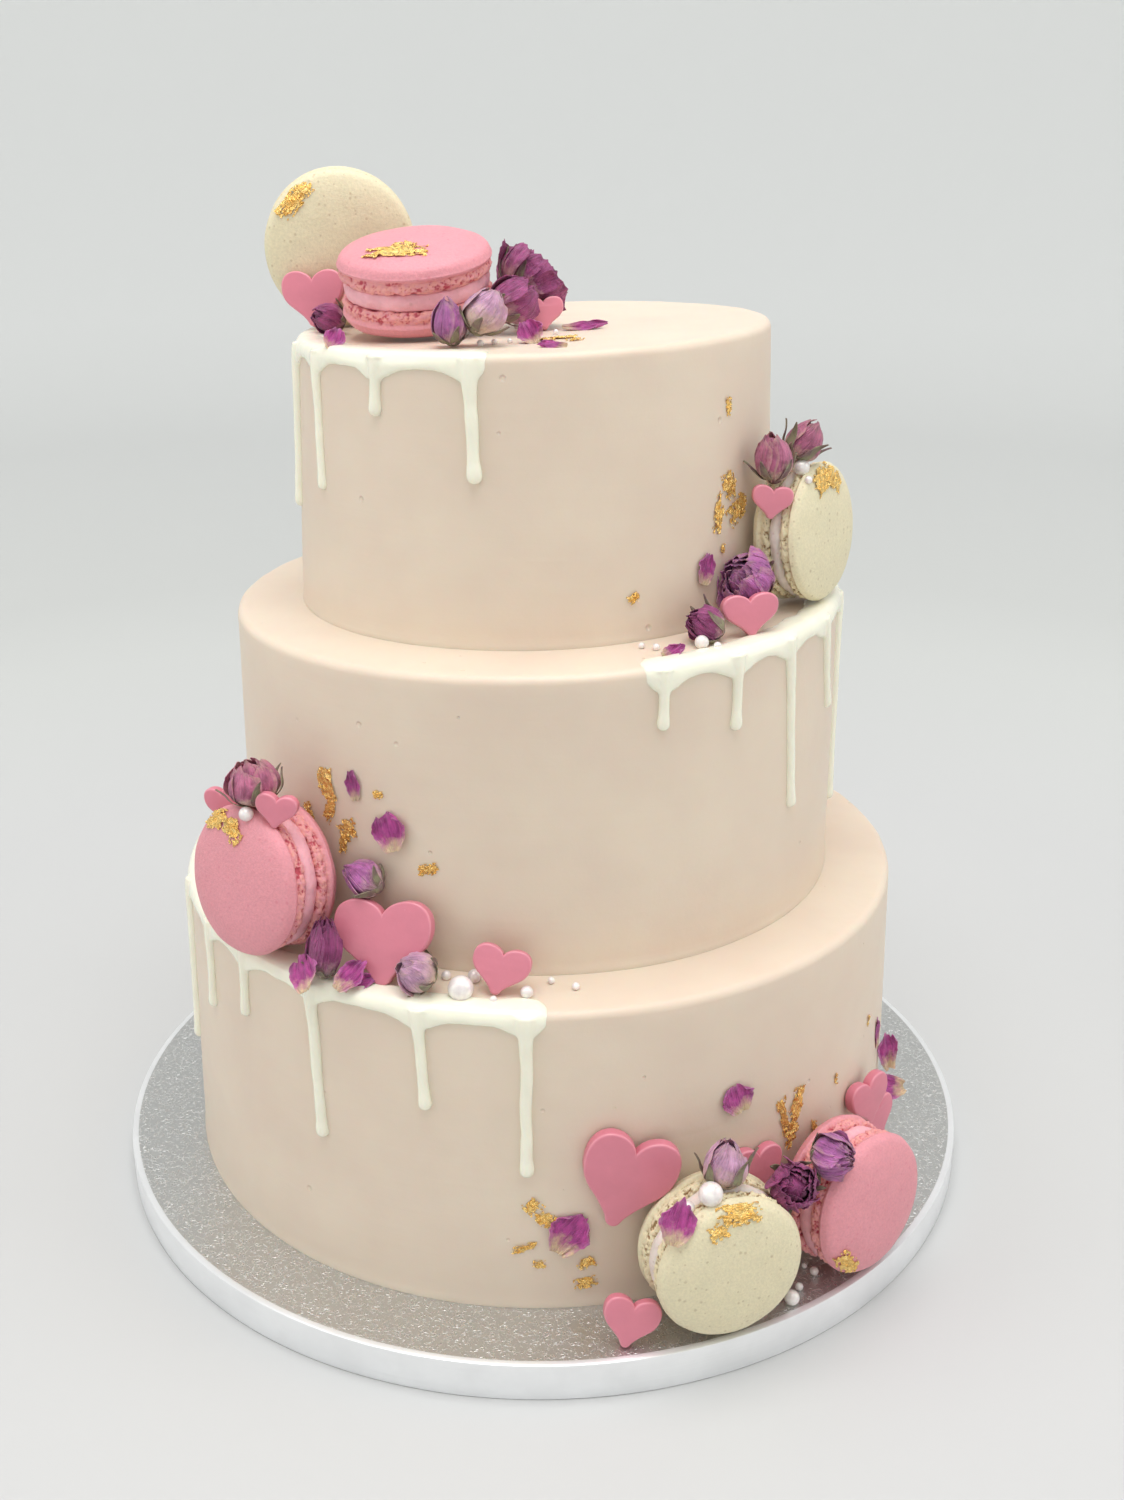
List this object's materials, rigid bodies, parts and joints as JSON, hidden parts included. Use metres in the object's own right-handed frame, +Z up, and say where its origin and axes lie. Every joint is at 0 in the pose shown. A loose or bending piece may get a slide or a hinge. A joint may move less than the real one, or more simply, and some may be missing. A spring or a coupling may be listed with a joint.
{
  "type": "tiered wedding cake",
  "caption": "Tiered buttercream wedding cake on a round silver board, with drips, macarons, chocolate hearts, rosebuds, petals and pearls.",
  "frame": {"origin": "centre of the board's underside, on the surface that the cake stands on", "axes": "+Z up, the cake's front towards -Y, +X to the right as seen from the front"},
  "size_m": [0.305, 0.305, 0.3377],
  "materials": {
    "silver_board": "satin foil",
    "buttercream": "satin",
    "pink_macaron": "matte",
    "beige_macaron": "matte",
    "pink_filling": "satin",
    "beige_filling": "satin",
    "pink_chocolate": "satin",
    "dried_rose": "matte",
    "dried_petal": "matte"
  },
  "bodies": {
    "root": {"board": "silver_board", "bud_board_crown": "dried_rose", "bud_board_end": "dried_rose", "bud_board_violet": "dried_rose", "bud_left_crown": "dried_rose", "bud_left_dark": "dried_rose", "bud_left_pale": "dried_rose", "bud_left_violet": "dried_rose", "bud_right_inner": "dried_rose", "bud_right_low": "dried_rose", "bud_right_open": "dried_rose", "bud_right_outer": "dried_rose", "bud_top_dark": "dried_rose", "bud_top_lilac": "dried_rose", "bud_top_magenta": "dried_rose", "bud_top_rose": "dried_rose", "bud_top_violet": "dried_rose", "heart_board_far": "pink_chocolate", "heart_board_large": "pink_chocolate", "heart_board_low": "pink_chocolate", "heart_board_middle": "pink_chocolate", "heart_board_right": "pink_chocolate", "heart_left_behind": "pink_chocolate", "heart_left_crown": "pink_chocolate", "heart_left_large": "pink_chocolate", "heart_left_low": "pink_chocolate", "heart_right_large": "pink_chocolate", "heart_right_small": "pink_chocolate", "heart_top_left": "pink_chocolate", "heart_top_right": "pink_chocolate", "macaron_board_beige_filling": "beige_filling", "macaron_board_beige_inner": "beige_macaron", "macaron_board_beige_outer": "beige_macaron", "macaron_board_pink_filling": "pink_filling", "macaron_board_pink_inner": "pink_macaron", "macaron_board_pink_outer": "pink_macaron", "macaron_left_pink_filling": "pink_filling", "macaron_left_pink_inner": "pink_macaron", "macaron_left_pink_outer": "pink_macaron", "macaron_right_beige_filling": "beige_filling", "macaron_right_beige_inner": "beige_macaron", "macaron_right_beige_outer": "beige_macaron", "macaron_top_beige_filling": "beige_filling", "macaron_top_beige_inner": "beige_macaron", "macaron_top_beige_outer": "beige_macaron", "macaron_top_pink_filling": "pink_filling", "macaron_top_pink_inner": "pink_macaron", "macaron_top_pink_outer": "pink_macaron", "petal_board_cream": "dried_petal", "petal_board_far": "dried_petal", "petal_board_left": "dried_petal", "petal_board_upper": "dried_petal", "petal_board_wall": "dried_petal", "petal_left_dark": "dried_petal", "petal_left_rim": "dried_petal", "petal_left_wall": "dried_petal", "petal_right_wall": "dried_petal", "tier_1": "buttercream", "tier_2": "buttercream", "tier_3": "buttercream"}
  },
  "joints": []
}
